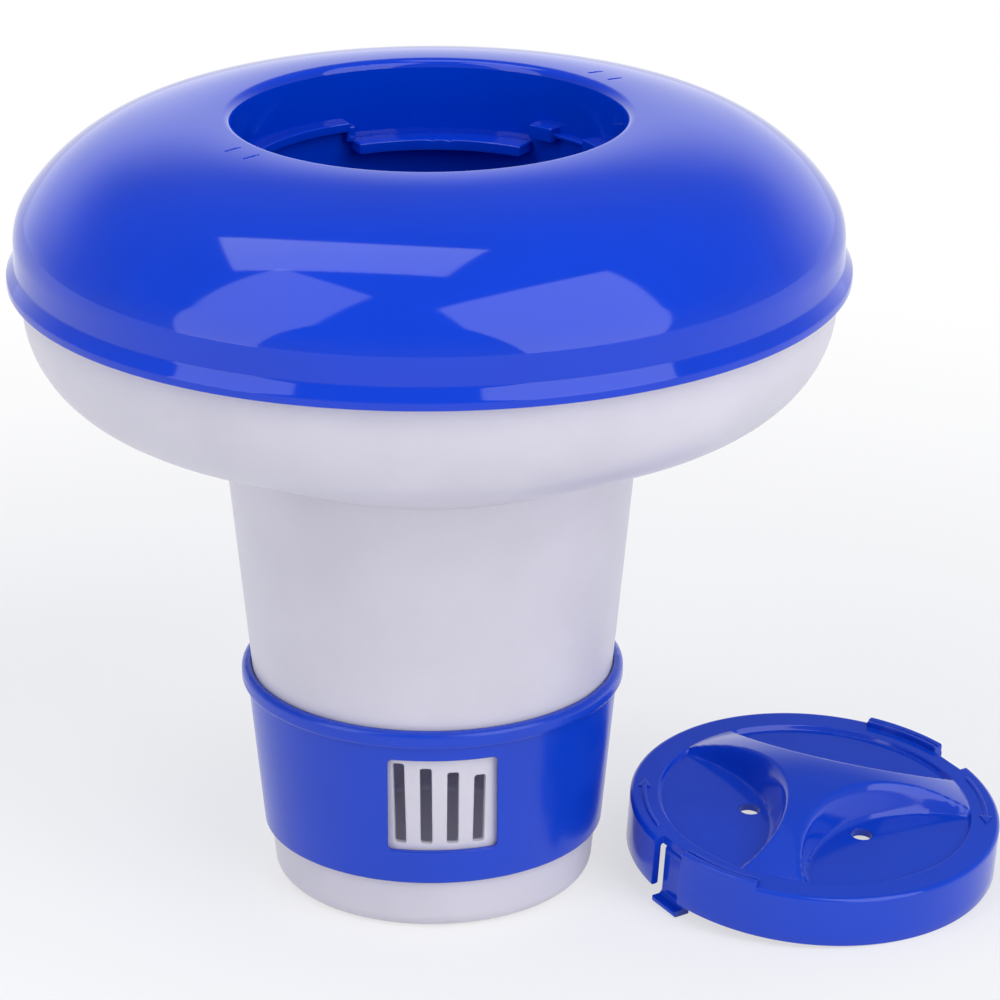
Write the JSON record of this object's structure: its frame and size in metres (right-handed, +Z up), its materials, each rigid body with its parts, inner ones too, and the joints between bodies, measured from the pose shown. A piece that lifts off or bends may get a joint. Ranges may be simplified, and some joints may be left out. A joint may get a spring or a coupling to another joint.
{
  "type": "floating chlorine dispenser",
  "caption": "Round two-part float with a slotted tablet canister below, a turning flow ring and a twist-lock cap taken off and laid beside it.",
  "frame": {"origin": "centre of the canister's flat base, which the dispenser stands on", "axes": "+Z up along the canister's axis, +X towards the side where the cap lies, -Y towards the front window"},
  "size_m": [0.2462, 0.205, 0.1982],
  "materials": {
    "dome_plastic": "gloss",
    "shell_plastic": "satin",
    "ring_plastic": "gloss",
    "cap_plastic": "gloss",
    "seal_rubber": "matt"
  },
  "bodies": {
    "float": {"float_dome": "dome_plastic", "float_hull": "shell_plastic", "canister": "shell_plastic", "rim_seal": "seal_rubber", "well_seal": "seal_rubber"},
    "flow_ring": {"flow_ring": "ring_plastic"},
    "cap": {"cap": "cap_plastic"},
    "latch_front": {"latch_front": "cap_plastic"},
    "latch_back": {"latch_back": "cap_plastic"}
  },
  "joints": [
    {"name": "ring_turn", "type": "hinge", "parent": "float", "child": "flow_ring", "pos_m": [0, 0, 0.03], "axis": [0, 0, 1], "range_deg": [0, 40]},
    {"name": "cap_lift", "type": "slide", "parent": "float", "child": "cap", "axis": [0.45, 0, 0.893], "range_m": [0, 0.12]},
    {"name": "latch_front_press", "type": "hinge", "parent": "cap", "child": "latch_front", "pos_m": [0.0612, -0.03077, 0.01501], "axis": [0.5559, -0.8242, -0.1079], "range_deg": [0, 10], "stiffness_Nm_per_rad": 0.05},
    {"name": "latch_back_press", "type": "hinge", "parent": "cap", "child": "latch_back", "pos_m": [0.132, 0.01698, 0.01501], "axis": [-0.5559, 0.8242, 0.1079], "range_deg": [0, 10], "stiffness_Nm_per_rad": 0.05}
  ]
}
